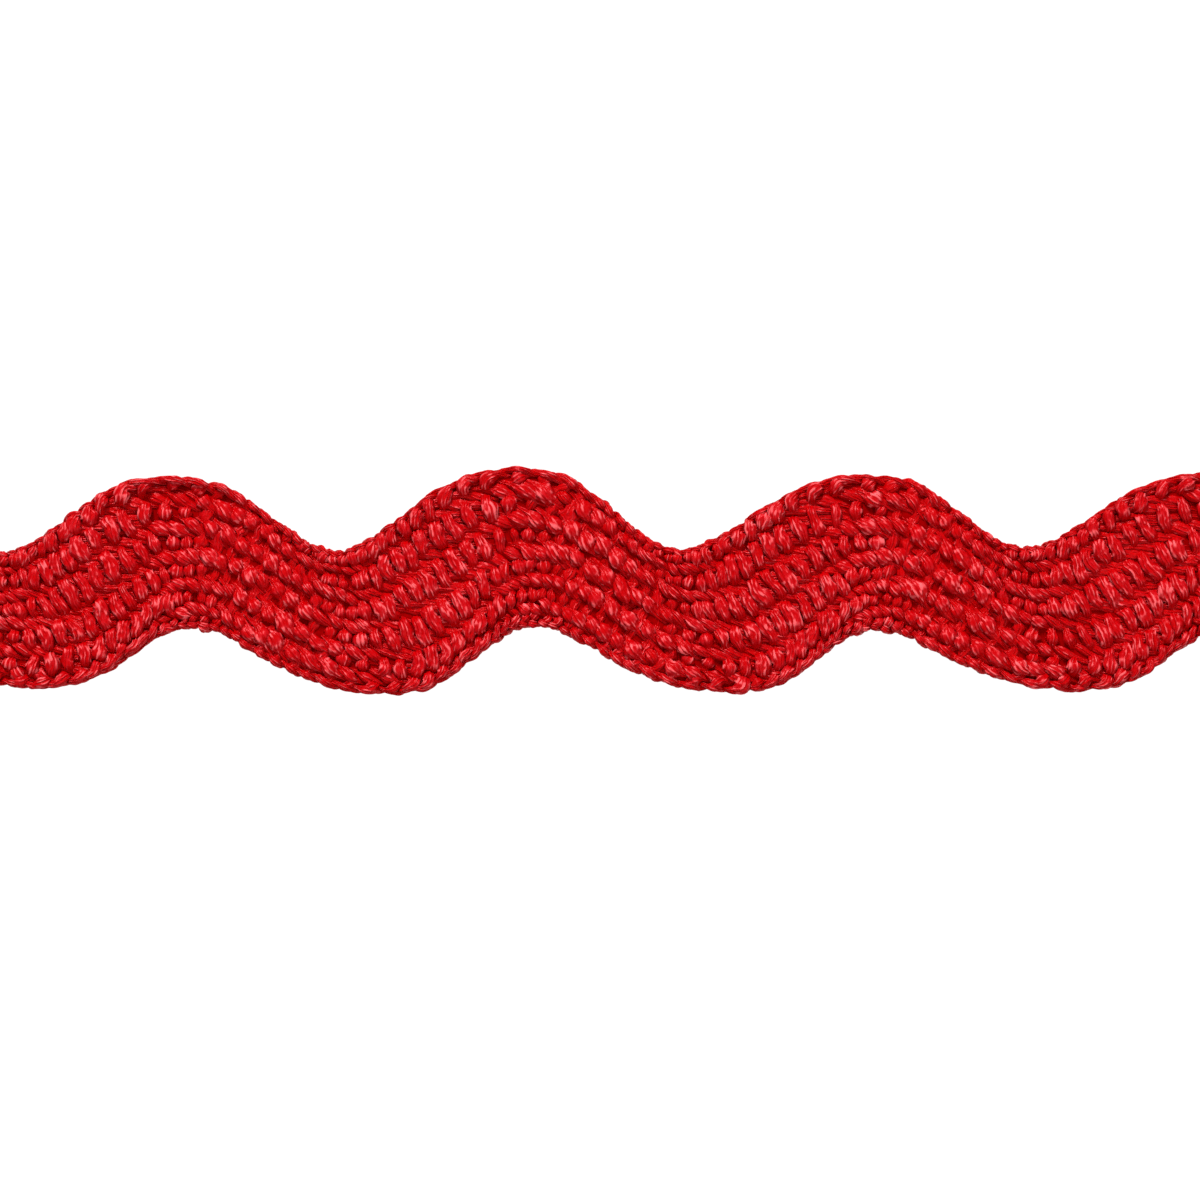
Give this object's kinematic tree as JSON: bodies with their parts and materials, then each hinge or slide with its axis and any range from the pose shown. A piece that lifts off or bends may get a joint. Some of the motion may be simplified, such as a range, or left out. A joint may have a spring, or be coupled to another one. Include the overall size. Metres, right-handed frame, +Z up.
{
  "type": "cut length of ric rac trim",
  "caption": "Flat braided trim with wavy woven edges, cut to a short length, for sewing along hems and seams.",
  "frame": {"origin": "centre of the overall box, on the flat underside", "axes": "+X along the trim, +Y across it, +Z up out of the face"},
  "size_m": [0.0988, 0.014, 0.0015],
  "materials": {
    "red_yarn": "satin polyester braid, bright red"
  },
  "bodies": {
    "root": {"braid": "red_yarn"}
  },
  "joints": []
}
